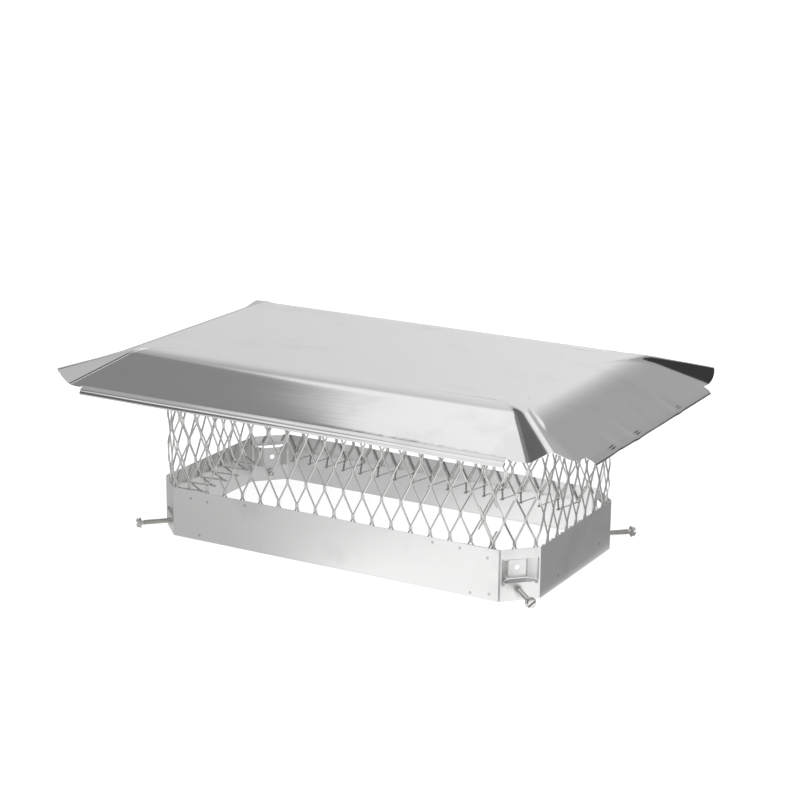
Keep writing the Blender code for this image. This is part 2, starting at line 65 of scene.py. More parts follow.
# Lanced bridge in each cut corner
BRIDGE_BOTTOM = 0.0211
BRIDGE_TOP = 0.0443
BRIDGE_DEPTH = 0.010
BRIDGE_PANEL = 0.0203
BRIDGE_RAMP = 0.0099
BRIDGE_BEND = 0.14
BRIDGE_HOLE = 0.0055
LANCE_GAP = 0.0003
LANCE_DRAW = 0.0045
LANCE_LIP_HEIGHT = 0.0014
LANCE_ABOVE = dict(end=0.0012, lip=0.12)
LANCE_BELOW = dict(end=0.0036, lip=0.93)

# Points over a cut corner and over each fold of the band, and rows up the band
CORNER_COLUMNS = 53
FOLD_COLUMNS = 6
BAND_ROWS = dict(below=22, lip=6, between=12, above=14)

# Clamp screws: a quarter inch thread of twenty turns to the inch
SCREW_HEIGHT = 0.010
SCREW_REACH = 0.005
SCREW_LENGTH = 0.038
SCREW_POINT = 0.0012
THREAD_RUNOUT = 0.0028
THREAD_CREST = 0.00300
THREAD_ROOT = 0.00245
THREAD_PITCH = 0.00127
THREAD_STEPS = 24
SCREW_HOLE = 0.0033
COLLAR_LENGTH = 0.0022
COLLAR_WALL = 0.0009
COLLAR_OUTSIDE = SCREW_HOLE + COLLAR_WALL
DISH_RADIUS = 0.0085
DISH_DEPTH = 0.0013
WASHER_RADIUS = 0.0061
WASHER_THICKNESS = 0.0012
HEAD_ACROSS_FLATS = 0.0095
HEAD_HEIGHT = 0.0036
SLOT_WIDTH = 0.0018
SLOT_DEPTH = 0.0022
HEAD_CORNER_BREAK = 0.0007
HEAD_RIM_BREAK = 0.0008
HEAD_SINK = 0.0002
HEAD_FILLET = 0.0004
WASHER_EDGE = 0.0003
POINT_TAPER = (0.0007, 0.0009)
SHANK_PROUD = 0.0001
SHANK_SUNK = 0.0002
BARE_LENGTH = 0.0030
BARE_TAPER = 0.0006
SLOT_TURNS = {"front_right": 38, "back_right": -20, "back_left": 65, "front_left": 10}
SHANK_SIDES = 40
HOLE_SIDES = 32
CUTTER_LENGTH = 0.03

# Rounded mouth of a collar: steps out from its outside and up from the dish
COLLAR_MOUTH = (
    (0.0009, -BAND_SHEET / 2), (0.0008, 0.0002), (0.0004, 0.0006),
    (-0.0002, 0.0007), (0.0001 - COLLAR_WALL, 0.0004), (-COLLAR_WALL, -0.0002),
)

# The thread's form: radius, and share of the pitch up from the start of a turn
THREAD_FORM = (
    (THREAD_ROOT, 0.0), (THREAD_ROOT, 0.12), (THREAD_CREST, 0.42),
    (THREAD_CREST, 0.56), (THREAD_ROOT, 0.86), (THREAD_ROOT, 1.0),
)

# Expanded metal screen
BOND_PITCH = 0.0233
ROW_PITCH = 0.0253
WALL_ROWS = 7
BOND_LENGTH = 0.0062
BOND_PHASE = -0.0038
STRAND_WIDTH = 0.0020
STRAND_THICKNESS = 0.0013
STRAND_TILT = math.radians(24)
STRAND_EDGE = 0.00028
STRAND_SHARES = (0.07, 0.28, 0.5, 0.72, 0.93)
STRAND_RAISE = 0.0012
STRAND_DEPTH = 0.0018
SCREEN_FOLD_RADIUS = 0.006
SCREEN_SEAT = 0.0207
SCREEN_START = 0.0235
SCREEN_LAP = 0.024
FOOT_DROP = math.radians(8)
SCREEN_BEND_STEP = 0.0012
STRIP_MARGIN = 0.003

# Hood
FLAT_LENGTH = 0.470
FLAT_WIDTH = 0.265
EAVE_LENGTH = 0.631
EAVE_WIDTH = 0.414
END_SKIRT_DROP = 0.0325
SIDE_SKIRT_DROP = 0.0288
SIDE_CREASE = 0.013
END_CREASE_INSIDE = 0.010
END_CREASE_OUTSIDE = 0.035
CORNER_RADIUS = 0.055
BEND_SETBACK = 0.0008
HEM_RETURN = 0.005
CORE_INSET = 0.020
CORE_GAP = 0.004

# The hood's grid: rows from the flat's core by their offset from the flat's edge, then further
# rows to the eave; columns along the eave; and the angle kept between a corner and its drips
HOOD_OFFSETS = (-0.020, -0.014, -0.010, -0.0075, -0.005, -0.0025, 0, 0.0025, 0.005, 0.008, 0.012)
SKIRT_ROWS = 14
EAVE_COLUMNS = dict(end=75, corner=56, side=128)
EAVE_MARGIN = 0.02

# Corners of the hood, measured from the flat's corner: where each valley of the fold leaves
# the flat's edge and its direction; direction and descent of the two ridges; reach of the
# blank's corner; how far each drip edge runs past the flat; slant of the end drip's cut;
# how far the flat runs on before the crest of the fold falls away; and whether the end's facet
# springs from where the crest starts
HOOD_CORNERS = {
    "front_right": dict(
        quadrant=(1, -1), side_valley=(-0.0145, 54.5), end_valley=(0.006, 36.4), crest_start=0.005,
        ridges=((46.4, 11.07), (51.1, 11.2)), reach=0.0930, drips=(0.0145, 0.0260), slant=0.0056,
        springs=True,
    ),
    "back_right": dict(
        quadrant=(1, 1), side_valley=(0, 63), end_valley=(0.0308, 34.5), crest_start=0,
        ridges=((38.5, 11.7), (41.5, 12.2)), reach=0.0960, drips=(0.020, 0.016),
    ),
    "back_left": dict(
        quadrant=(-1, 1), side_valley=(0, 63), end_valley=(0, 32), crest_start=0.004,
        ridges=((45.5, 11.6), (48, 11.6)), reach=0.0940, drips=(0.020, 0.016),
    ),
    "front_left": dict(
        quadrant=(-1, -1), side_valley=(0, 62.5), end_valley=(0, 32), crest_start=0.005,
        ridges=((45, 10.6), (47.5, 10.1)), reach=0.0925, drips=(0.0228, 0.016),
    ),
}
RIDGE_RUN = 0.09
SIDE_VALLEY_RUN = (0.024, 0.072)
END_VALLEY_RUN = (0.040, 0.075)
VALLEY_SOFTNESS = 0.0015
END_VALLEY_SOFTNESS = 0.0030
RIDGE_SOFTNESS = 0.0016
CREST_SOFTNESS = 0.0015
LEAST_SOFTNESS = 0.00001
SOFTENING_DROP = 0.006
SLANT_SHARPNESS = 40

# Sections of the drip edges: how far the face runs out and down, the rolled hem's radius and
# how much the hem wanders; then the points along the bend, the face and the turns of the hem
DRIPS = {
    "end": dict(out=0.0056, fall=0.0054, radius=0.0007, wander=0.8),
    "side": dict(out=0.0055, fall=0.0068, radius=0.0012, wander=0.25),
}
DRIP_BULGE = 0.0008
BEND_SHARES = (0.0, 0.2, 0.4, 0.6, 0.8, 1.0)
FACE_SHARES = (0.12, 0.25, 0.38, 0.5, 0.62, 0.75, 0.88, 0.96)
HEM_TURNS = range(0, 211, 30)
HEM_START = len(BEND_SHARES) + len(FACE_SHARES)
DRIP_STEPS = HEM_START + len(HEM_TURNS) + 1

# Unevenness of thin sheet: waves to a metre, seed and depth of each noise
SHEET_WAVE = (11, 3.0, 0.0004)
SHEET_WAVE_START = 0.06
TOOL_RIPPLE = (260, 0.5, 0.00001)
HEM_WAVES = ((16, 7.5, 0.0005), (45, 2.5, 0.0003))
HEM_PULL = 0.6

# Knocks near the eave: place, depth, and how far each reaches along X and Y
END_KNOCK = (0.020, 0.008)
SIDE_KNOCK = (0.009, 0.020)
KNOCKS = (
    (0.314, -0.0508, 0.0007, END_KNOCK),
    (0.314, 0.0589, 0.0006, END_KNOCK),
    (0.314, -0.100, -0.0006, END_KNOCK),
    (-0.316, 0.031, 0.0006, END_KNOCK),
    (-0.316, -0.072, -0.0005, END_KNOCK),
    (0.118, 0.208, 0.0005, SIDE_KNOCK),
)

# Spot welds: place on the front panel with the share of its lean there, and on the right panel
FRONT_WELDS = (
    (0.1894, 0.0458, 1.0), (0.1701, 0.0044, 0.95), (0.1922, 0.0069, 1.0),
    (-0.1793, 0.0473, 0.08), (-0.1687, 0.0060, 0.1), (-0.1576, 0.0465, 0.12),
    (-0.1081, 0.0512, 0.25), (0.1251, 0.0514, 0.8), (0.1572, 0.0508, 0.88),
)
RIGHT_WELDS = ((-0.0462, 0.0117), (0.0596, 0.0152))
WELD_RADIUS = 0.0017
WELD_SIDES = 16
WELD_CRATER = (
    (0, 0.00002), (WELD_RADIUS * 0.5, 0.00004), (WELD_RADIUS * 0.85, 0.00013),
    (WELD_RADIUS, 0.00006), (WELD_RADIUS, -0.0002), (0, -0.0002),
)

# Camera, as solved from the photograph: azimuth, elevation and roll in degrees, then its place
CAMERA_ANGLES = (29.07, 15.62, 0.63)
CAMERA_PLACE = (1.1119, -1.9692, 0.7901)
CAMERA_SENSOR = 36
CAMERA_LENS = 95.94
CAMERA_FAR = 50

# Floor, and the colours of floor and background
FLOOR_HALF = 6
FLOOR_DROP = 0.0005
FLOOR_GLOW = 0.78
PALE = (0.9, 0.9, 0.9, 1)
WHITE = (1, 1, 1, 1)

# Finish of the steel: rolling lines and smudges
LINE_DETAIL = 3.0
LINE_GLOSS = 0.06
LINE_STRENGTH = 0.35
SMUDGE_SCALE = (14, 14, 14)
SMUDGE_DETAIL = 4.0
SMUDGE_EDGES = (0.52, 0.72)
SMUDGE_TONE = 0.93
NOISE_ROUGHNESS = 0.6

SHARP_FROM = math.radians(38)
SAME_POINT = 0.000001
THREAD_MERGE = 0.00001
HOOD_MERGE = 0.00002
CORNER_NAMES = ("front_right", "back_right", "back_left", "front_left")


# Node building

class Value:
    """A number that a node puts out. Arithmetic on it adds Math nodes."""

    def __init__(self, nodes, socket):
        self.nodes = nodes
        self.socket = socket

    def maths(self, operation, first, second):
        return self.nodes.add("Math", {"operation": operation}, {0: first, 1: second})

    def __add__(self, other):
        return self.maths("ADD", self, other)

    def __radd__(self, other):
        return self.maths("ADD", other, self)

    def __sub__(self, other):
        return self.maths("SUBTRACT", self, other)

    def __rsub__(self, other):
        return self.maths("SUBTRACT", other, self)

    def __mul__(self, other):
        return self.maths("MULTIPLY", self, other)

    def __rmul__(self, other):
        return self.maths("MULTIPLY", other, self)


class Nodes:
    """The nodes of one material or of the world."""

    def __init__(self, tree):
        tree.nodes.clear()
        self.tree = tree

    def add(self, kind, settings=None, inputs=None, output=0):
        """Adds a node, with its settings and the values or links of its sockets."""
        node = self.tree.nodes.new("ShaderNode" + kind)
        for name, value in (settings or {}).items():
            setattr(node, name, value)
        for name, value in (inputs or {}).items():
            if isinstance(value, Value):
                self.tree.links.new(value.socket, node.inputs[name])
            else:
                node.inputs[name].default_value = value
        return Value(self, node.outputs[output]) if node.outputs else node

    def split(self, vector):
        """The three numbers of a vector."""
        parts = self.add("SeparateXYZ", None, {"Vector": vector})
        return [Value(self, socket) for socket in parts.socket.node.outputs]

    def bearing(self, across, ahead):
        """Degrees from straight ahead, turning towards across."""
        angle = self.add("Math", {"operation": "ARCTAN2"}, {0: across, 1: ahead})
        return angle * math.degrees(1)

    def elevation(self, sine):
        """Degrees above the horizon of a direction's upright part."""
        return self.add("Math", {"operation": "ARCSINE"}, {0: sine}) * math.degrees(1)

    def rise(self, value, low, high):
        """0 below low and 1 above high, with a smooth step between."""
        ends = {"Value": value, "From Min": low, "From Max": high}
        return self.add("MapRange", {"interpolation_type": "SMOOTHSTEP"}, ends)

    def band(self, value, low, high, soft):
        """1 between low and high, falling off smoothly beyond both."""
        above = self.rise(value, high - soft, high + soft)
        return self.rise(value, low - soft, low + soft) * (1 - above)

    def grain(self, scale, detail):
        """Noise on object coordinates, drawn out by a scale for each axis."""
        place = self.add("TexCoord", output="Object")
        drawn = self.add("Mapping", None, {"Vector": place, "Scale": scale})
        inputs = {"Vector": drawn, "Scale": 1.0, "Detail": detail, "Roughness": NOISE_ROUGHNESS}
        return self.add("TexNoise", None, inputs)


def blend(first, second, share):
    return first + (second - first) * share


# Finishes

def steel(name, colour, roughness, lines, line_depth, smudge=0.05):
    """Bare steel with fine rolling lines drawn along one direction, and faint smudges."""
    material = bpy.data.materials.new(name)
    material.use_nodes = True
    nodes = Nodes(material.node_tree)
    fine = nodes.grain(lines, LINE_DETAIL)
    dirt = nodes.rise(nodes.grain(SMUDGE_SCALE, SMUDGE_DETAIL), *SMUDGE_EDGES)
    gloss = roughness + LINE_GLOSS * (fine - 0.5) + smudge * dirt
    darker = tuple(SMUDGE_TONE * part for part in colour)
    tints = {"Factor": dirt, 6: (*colour, 1.0), 7: (*darker, 1.0)}
    tone = nodes.add("Mix", {"data_type": "RGBA"}, tints, output=2)
    relief = {"Strength": LINE_STRENGTH, "Distance": line_depth, "Height": fine}
    bump = nodes.add("Bump", None, relief)
    finish = {"Base Color": tone, "Metallic": 1.0, "Roughness": gloss, "Normal": bump}
    shader = nodes.add("BsdfPrincipled", None, finish)
    nodes.add("OutputMaterial", None, {"Surface": shader})
    return material


def hood_steel():
    """Bright smooth sheet, rolled along the cap."""
    colour = (0.74, 0.74, 0.74)
    return steel("hood_steel", colour, 0.10, lines=(9, 620, 620), line_depth=0.00003, smudge=0.02)


def band_steel():
    """Duller sheet with its rolling lines level round the band."""
    colour = (0.74, 0.74, 0.735)
    return steel("band_steel", colour, 0.31, lines=(12, 12, 900), line_depth=0.00003)


def screen_steel():
    colour = (0.70, 0.70, 0.69)
    return steel("screen_steel", colour, 0.28, lines=(300, 300, 300), line_depth=0.00004)


def screw_steel():
    """Bright plated steel, a little darker and warmer than the sheet."""
    colour = (0.64, 0.63, 0.61)
    return steel("screw_steel", colour, 0.13, lines=(500, 500, 500), line_depth=0.00001)


def weld_steel():
    """Metal dulled by the heat of a spot weld."""
    colour = (0.52, 0.51, 0.50)
    return steel("weld_steel", colour, 0.36, lines=(900, 900, 900), line_depth=0.00004)


# Camera, world and floor

def make_camera():
    azimuth, elevation, roll = (math.radians(angle) for angle in CAMERA_ANGLES)
    ahead = Vector((
        -math.sin(azimuth) * math.cos(elevation),
        math.cos(azimuth) * math.cos(elevation),
        -math.sin(elevation),
    ))
    right = ahead.cross(Vector((0, 0, 1))).normalized()
    up = right.cross(ahead)
    side = right * math.cos(roll) + up * math.sin(roll)
    top = up * math.cos(roll) - right * math.sin(roll)
    camera = bpy.data.cameras.new("camera")
    camera.sensor_width = CAMERA_SENSOR
    camera.lens = CAMERA_LENS
    camera.clip_end = CAMERA_FAR
    obj = bpy.data.objects.new("camera", camera)
    turn = Matrix((side, top, -ahead)).transposed().to_4x4()
    obj.matrix_world = Matrix.Translation(CAMERA_PLACE) @ turn
    bpy.context.scene.collection.objects.link(obj)
    bpy.context.scene.camera = obj


def left_wall(nodes, around, height):
    """The dark flat at the left end, with a pale panel high up and a dark strip over it."""
    tone = blend(0.30, 0.17, 1 - nodes.rise(height, 39, 43))
    tone = blend(tone, 0.48, nodes.rise(height, 46, 50) * nodes.rise(around, 60, 68))
    tone = blend(tone, 1.0, nodes.rise(height, 55.5, 58))
    return blend(tone, 0.10, nodes.rise(height, 60, 63) * (1 - nodes.rise(around, 68, 76)))


def back_wall(nodes, around, height):
    """The pale flat behind the cap, brighter above, that the hood's flat and crease mirror."""
    low = blend(0.50, 0.91, nodes.rise(around, 7, 24))
    low = blend(low, 0.78, nodes.rise(around, 21, 36))
    low = blend(low, 0.50, nodes.rise(around, 34, 48))
    high = blend(0.45, 1.14, nodes.rise(around, 5, 12))
    to_left = nodes.rise(around, 24, 34)
    return blend(low, high, blend(nodes.rise(height, 27, 42), nodes.rise(height, 42, 47), to_left))


def right_wall(nodes, around, height):
    """The grey flat behind the right end, with a dark one beyond it."""
    near = blend(0.52, 0.46, nodes.rise(height, 14, 30))
    beyond = blend(0.10, 0.45, nodes.rise(height, 6, 10))
    beyond = blend(beyond, 0.05, nodes.rise(height, 26, 32))
    return blend(beyond, near, nodes.rise(around, -9, -5))


def front_wall(nodes, around, height):
    """The soft box before the cap, with a low dark strip at its left."""
    tone = blend(0.14, 1.05, nodes.rise(around, 145, 150))
    tone = blend(tone, 1.15, nodes.rise(height, 26, 34))
    return blend(tone, 1.0, 1 - nodes.rise(height, 2, 8))


def make_world():
    """Soft boxes and dark flats round the cap. The camera itself sees plain white.

    Bearings are degrees from straight behind the cap, turning towards its left end, and
    heights are degrees above the floor. Each tone comes in over a range of one of them.
    """
    world = bpy.data.worlds.new("studio")
    world.use_nodes = True
    bpy.context.scene.world = world
    nodes = Nodes(world.node_tree)
    x, y, z = nodes.split(nodes.add("TexCoord", output="Generated"))
    around = nodes.bearing(0 - x, y)
    height = nodes.elevation(z)
    place = (nodes, around, height)
    tone = blend(right_wall(*place), back_wall(*place), nodes.rise(around, 4, 8))
    tone = blend(tone, left_wall(*place), nodes.rise(around, 48.4, 50.0))
    tone = blend(tone, 0.60, 1 - nodes.rise(around, -66, -54))
    in_front = nodes.rise(around, 130, 136) + (1 - nodes.rise(around, -142, -128))
    tone = blend(tone, front_wall(*place), in_front)
    zenith = blend(0.08, 0.64, nodes.band(around, 10, 128, 6))
    tone = blend(tone, zenith, nodes.rise(height, 69, 73))

    camera = nodes.add("LightPath", output="Is Camera Ray")
    clear = nodes.add("LightPath", output="Is Transmission Ray")
    studio = nodes.add("Background", None, {"Color": WHITE, "Strength": tone})
    white = nodes.add("Background", None, {"Color": WHITE, "Strength": 1.0})
    mixed = nodes.add("MixShader", None, {0: camera + clear, 1: studio, 2: white})
    nodes.add("OutputWorld", None, {"Surface": mixed})


def painted_floor_light(nodes, x, y):
    """Painted light and shade that the metal sees on the floor: by the bearing from the front, brightest
    ahead to the right; then painted shade of the hood near the right panel and inside the band's
    outline, which the inner walls mirror."""
    facing = nodes.bearing(x, 0 - y)
    # Painted light: the floor's mirrored tone by bearing, brightest ahead to the right
    tone = blend(0.55, 0.64, nodes.rise(facing, -75, -50))
    tone = blend(tone, 1.28, nodes.rise(facing, -58, 25))
    tone = blend(tone, 0.38, nodes.rise(facing, 68, 84))
    tone = blend(tone, 0.55, nodes.rise(facing, 130, 160))
    # Painted shade: a dark strip of floor for the front right corner's left fold to mirror
    tone = blend(tone, 0.15, painted_shade_strip(nodes, x, y))
    half_length, half_width = BAND_LENGTH / 2, BAND_WIDTH / 2
    # Painted shade of the hood on the floor beside the right panel
    off_right = nodes.bearing(x - half_length, 0 - y - (half_width - CORNER_CUT))
    tone = blend(tone, 0.38, nodes.rise(off_right, 80, 105))
    # Painted shade of the hood inside the band's outline, lightening towards the right end
    under = nodes.band(x, -half_length, half_length, 0.01)
    under = under * nodes.band(y, -half_width, half_width, 0.01)
    return blend(tone, blend(0.74, 1.3, nodes.rise(x, -0.08, 0.12)), under)


def painted_shade_strip(nodes, x, y):
    """The strip of painted shade on the floor that the front right corner's left fold mirrors."""
    east = x - (BAND_LENGTH / 2 - CORNER_CUT)
    south = 0 - y - BAND_WIDTH / 2
    squared = east * east + south * south
    return nodes.band(nodes.bearing(east, south), 4, 44, 8) * (1 - nodes.rise(squared, 0.030, 0.055))


def pale_floor():
    """White to the camera but for the cap's shadow. The metal sees painted light and shade on it."""
    material = bpy.data.materials.new("pale_floor")
    material.use_nodes = True
    nodes = Nodes(material.node_tree)
    x, y, _ = nodes.split(nodes.add("TexCoord", output="Object"))
    pale = nodes.add("BsdfDiffuse", None, {"Color": PALE})
    glow = nodes.add("Emission", None, {"Strength": FLOOR_GLOW})
    lit = nodes.add("AddShader", None, {0: pale, 1: glow})
    # Painted light and shade, glowing on the floor for glossy rays only
    painted_reflection = nodes.add("Emission", None, {"Strength": painted_floor_light(nodes, x, y)})
    camera = nodes.add("LightPath", output="Is Camera Ray")
    glossy = nodes.add("LightPath", output="Is Glossy Ray")
    seen = nodes.add("MixShader", None, {0: camera, 1: pale, 2: lit})
    final = nodes.add("MixShader", None, {0: glossy, 1: seen, 2: painted_reflection})
    nodes.add("OutputMaterial", None, {"Surface": final})
    return material


def make_floor():
    """The plane under the cap, a hair below it."""
    bm = bmesh.new()
    bmesh.ops.create_grid(bm, x_segments=1, y_segments=1, size=FLOOR_HALF)
    floor = link_mesh("floor", bm)
    floor.data.materials.append(pale_floor())
    floor.location.z = -FLOOR_DROP


# Mesh building

def link_mesh(name, bm):
    """Makes an object of a finished bmesh and puts it in the scene."""
    mesh = bpy.data.meshes.new(name)
    bm.to_mesh(mesh)
    bm.free()
    obj = bpy.data.objects.new(name, mesh)
    bpy.context.scene.collection.objects.link(obj)
    return obj


def apply_modifiers(obj):
    """Swaps an object's mesh for the one that its modifiers make of it."""
    graph = bpy.context.evaluated_depsgraph_get()
    worked = bpy.data.meshes.new_from_object(obj.evaluated_get(graph))
    drawn = obj.data
    obj.modifiers.clear()
    obj.data = worked
    worked.name = drawn.name
    bpy.data.meshes.remove(drawn)


def make_piece(name, bm, material, body="cap", sheet=0.0, cutters=None):
    """Puts a mesh in the scene, with any sheet thickness and holes worked into it."""
    obj = link_mesh(name, bm)
    if sheet:
        solidify = obj.modifiers.new("sheet", "SOLIDIFY")
        solidify.thickness = sheet
        solidify.offset = -1
        solidify.use_even_offset = True
    if cutters:
        cut = obj.modifiers.new("holes", "BOOLEAN")
        cut.operation = "DIFFERENCE"
        cut.solver = "EXACT"
        cut.object = cutters
    if obj.modifiers:
        apply_modifiers(obj)
    if cutters:
        bpy.data.objects.remove(cutters, do_unlink=True)
    mesh = obj.data
    mesh.materials.clear()
    mesh.materials.append(material)
    mesh.shade_smooth()
    mesh.set_sharp_from_angle(angle=SHARP_FROM)
    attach(obj, body)
    return obj


def add_sheet(bm, columns, rows, place):
    """Adds a grid to bm whose vertex at each column and row is at place(column, row)."""
    made = bmesh.ops.create_grid(bm, x_segments=len(columns) - 1, y_segments=len(rows) - 1, size=1)
    for index, vert in enumerate(made["verts"]):
        row, column = divmod(index, len(columns))
        vert.co = place(columns[column], rows[row])


def add_turned(bm, profile, steps, matrix=Matrix.Identity(4)):
    """Adds a solid turned about Z. Its profile of (radius, height) is closed or ends on the axis."""
    points = [bm.verts.new((radius, 0, height)) for radius, height in profile]
    edges = [bm.edges.new(pair) for pair in zip(points, points[1:])]
    bmesh.ops.spin(
        bm,
        geom=points + edges,
        cent=(0, 0, 0),
        axis=(0, 0, 1),
        angle=2 * math.pi,
        steps=steps,
        use_merge=True,
    )
    faces = {face for edge in edges for face in edge.link_faces}
    reached = set(faces)
    while faces:
        faces = {near for face in faces for edge in face.edges for near in edge.link_faces} - reached
        reached |= faces
    verts = list({vert for face in reached for vert in face.verts})
    bmesh.ops.transform(bm, matrix=matrix, verts=verts)


def fill_ends(bm, sides=0):
    """Closes open ends, of any number of sides or of up to the given number."""
    rims = [edge for edge in bm.edges if edge.is_boundary]
    bmesh.ops.holes_fill(bm, edges=rims, sides=sides)


def tidy(bm, end_sides=None):
    """Merges doubled points, closes any open ends and points the faces outwards."""
    bmesh.ops.remove_doubles(bm, verts=bm.verts, dist=SAME_POINT)
    if end_sides:
        fill_ends(bm, end_sides)
    bmesh.ops.recalc_face_normals(bm, faces=bm.faces)


def pointing(place, outward):
    """Stands what is drawn about Z at a place, with its Z outwards."""
    return Matrix.Translation(place) @ outward.to_track_quat("Z", "Y").to_matrix().to_4x4()


def smooth_step(share):
    share = min(max(share, 0.0), 1.0)
    return share * share * (3 - 2 * share)


def soft_max(a, b, width):
    """The larger of two numbers, rounded over where they cross."""
    overlap = max(width - abs(a - b), 0.0)
    return max(a, b) + overlap * overlap / (4 * width) if overlap else max(a, b)


def soft_min(a, b, width):
    return -soft_max(-a, -b, width)


# Eight-sided outline that band, screen and screws share

class RingPath:
    """The band's eight-sided outline, offset inwards, walked anticlockwise from mid-front."""

    def __init__(self, inset, fold_radius):
        half_length = BAND_LENGTH / 2 - inset
        half_width = BAND_WIDTH / 2 - inset
        cut = CORNER_CUT - inset * (2 - math.sqrt(2))
        trim = fold_radius * math.tan(math.pi / 8)
        self.start = Vector((0, -half_width))
        self.fold_radius = fold_radius
        self.fold = fold_radius * math.pi / 4
        self.long = 2 * (half_length - cut - trim)
        self.short = 2 * (half_width - cut - trim)
        self.corner = cut * math.sqrt(2) - 2 * trim
        half_front = [self.long / 2]
        turn = [self.fold, self.corner, self.fold]
        right_and_back = turn + [self.short] + turn + [self.long]
        left = turn + [self.short] + turn
        self.lengths = half_front + right_and_back + left + half_front
        self.total = sum(self.lengths)

    def corner_start(self, index):
        """Distance to the start of a cut corner's flat; corner 0 is at the front right."""
        return sum(self.lengths[: 2 + 4 * index])

    def at(self, distance):
        """The point and the outward normal at a distance along the outline."""
        left = distance % self.total
        point = self.start.copy()
        heading = 0.0
        for index, length in enumerate(self.lengths):
            walked = min(left, length)
            if index % 2:
                swing = walked / self.fold_radius
                chord = 2 * self.fold_radius * math.sin(swing / 2)
                way = heading + swing / 2
                point += chord * Vector((math.cos(way), math.sin(way)))
                heading += swing
            else:
                point += walked * Vector((math.cos(heading), math.sin(heading)))
            left -= walked
            if left <= 0:
                break
        return point, Vector((math.sin(heading), -math.cos(heading)))


OUTLINE = RingPath(0, BAND_FOLD_RADIUS)
BRIDGE_MARGIN = (OUTLINE.corner - BRIDGE_PANEL) / 2 - BRIDGE_RAMP


def at_corner(index, height, out=0.0):
    """Stands what is drawn about Z at the middle of a cut corner, pointing outwards."""
    point, outward = OUTLINE.at(OUTLINE.corner_start(index) + OUTLINE.corner / 2)
    outward = outward.to_3d()
    return pointing(point.to_3d() + out * outward + Vector((0, 0, height)), outward)


# Base band

def along_corner(distance):
    """Distance along the cut corner that a place on the outline lies on, or None."""
    for corner in range(4):
        along = distance % OUTLINE.total - OUTLINE.corner_start(corner)
        if 0 < along < OUTLINE.corner:
            return along
    return None


def bridge_depth(along, height):
    """How far a cut corner's sheet is pressed in. The lips along the slits are drawn in a little."""
    near = bridge_reach(along)
    share = soft_min(soft_max(near / BRIDGE_RAMP, 0.0, BRIDGE_BEND), 1.0, BRIDGE_BEND)
    pressed = BRIDGE_DEPTH * share
    if BRIDGE_BOTTOM < height < BRIDGE_TOP:
        return pressed
    below = height < BRIDGE_BOTTOM
    beyond = BRIDGE_BOTTOM - height if below else height - BRIDGE_TOP
    lance = LANCE_BELOW if below else LANCE_ABOVE
    ends = smooth_step((lance["end"] - near) / lance["end"] * 2) * (1 - smooth_step(beyond / LANCE_DRAW))
    lip = lance["lip"] * (1 - smooth_step(beyond / LANCE_LIP_HEIGHT))
    return pressed * max(ends, lip)


def bridge_reach(along):
    """Distance in from the nearer end of a bridge, along its corner. It is negative outside."""
    start = along - BRIDGE_MARGIN
    return min(start, 2 * BRIDGE_RAMP + BRIDGE_PANEL - start)


def dish_depth(along, height):
    """The shallow dish round the screw's pierced hole."""
    off = math.hypot(along - OUTLINE.corner / 2, height - SCREW_HEIGHT)
    return DISH_DEPTH * (1 - smooth_step(off / DISH_RADIUS))


def band_point(distance, height):
    """A point of the band's outer face. The front panel leans out to pass over the tab."""
    point, outward = OUTLINE.at(distance)
    shift = 0.0
    along = along_corner(distance)
    if along is not None:
        shift -= bridge_depth(along, height) + dish_depth(along, height)
    last_panel = OUTLINE.total - OUTLINE.long / 2
    lean = max(0.0, (distance - last_panel) / OUTLINE.long)
    shift += lean * (BAND_SHEET + SEAT_GAP)
    return (point + shift * outward).to_3d() + Vector((0, 0, height))


def band_columns():
    """Places along the strip, from the end of the lap's tab to the end of the front panel."""
    columns = [OUTLINE.long / 2 - LAP_TAB]
    flat = np.linspace(0, OUTLINE.corner, CORNER_COLUMNS).tolist()
    for corner in range(4):
        start = OUTLINE.corner_start(corner)
        end = start + OUTLINE.corner
        columns += np.linspace(start - OUTLINE.fold, start, FOLD_COLUMNS).tolist()
        columns += [start + step for step in flat[1:-1]]
        columns += np.linspace(end, end + OUTLINE.fold, FOLD_COLUMNS).tolist()
    columns.append(OUTLINE.total + OUTLINE.long / 2)
    return columns


def band_heights():
    """Heights up the strip, with a narrow row for each of the two lanced slits."""
    half_gap = LANCE_GAP / 2
    lip = BRIDGE_BOTTOM - half_gap - LANCE_LIP_HEIGHT
    below = np.linspace(0, lip, BAND_ROWS["below"]).tolist()
    below += np.linspace(lip, BRIDGE_BOTTOM - half_gap, BAND_ROWS["lip"]).tolist()[1:]
    between = np.linspace(BRIDGE_BOTTOM + half_gap, BRIDGE_TOP - half_gap, BAND_ROWS["between"])
    above = np.linspace(BRIDGE_TOP + half_gap, BAND_HEIGHT, BAND_ROWS["above"])
    return below + between.tolist() + above.tolist()


def slit_faces(bm, columns, heights):
    """The faces of the band's grid that lie in a lanced slit."""
    slits = []
    for index, face in enumerate(bm.faces):
        row, column = divmod(index, len(columns) - 1)
        height = (heights[row] + heights[row + 1]) / 2
        along = along_corner((columns[column] + columns[column + 1]) / 2)
        for level, lance in ((BRIDGE_BOTTOM, LANCE_BELOW), (BRIDGE_TOP, LANCE_ABOVE)):
            in_slit = abs(height - level) < SAME_POINT and along is not None
            if in_slit and bridge_reach(along) > lance["end"]:
                slits.append(face)
    return slits


def hole_cutters():
    """Pins that cut the screw's hole and the bridge's hole in each corner."""
    bm = bmesh.new()
    holes = (
        (SCREW_HEIGHT, (SCREW_HOLE + COLLAR_OUTSIDE) / 2),
        ((BRIDGE_BOTTOM + BRIDGE_TOP) / 2, BRIDGE_HOLE / 2),
    )
    for corner in range(4):
        for height, radius in holes:
            bmesh.ops.create_cone(
                bm,
                cap_ends=True,
                segments=HOLE_SIDES,
                radius1=radius,
                radius2=radius,
                depth=CUTTER_LENGTH,
                matrix=at_corner(corner, height),
            )
    return link_mesh("holes", bm)


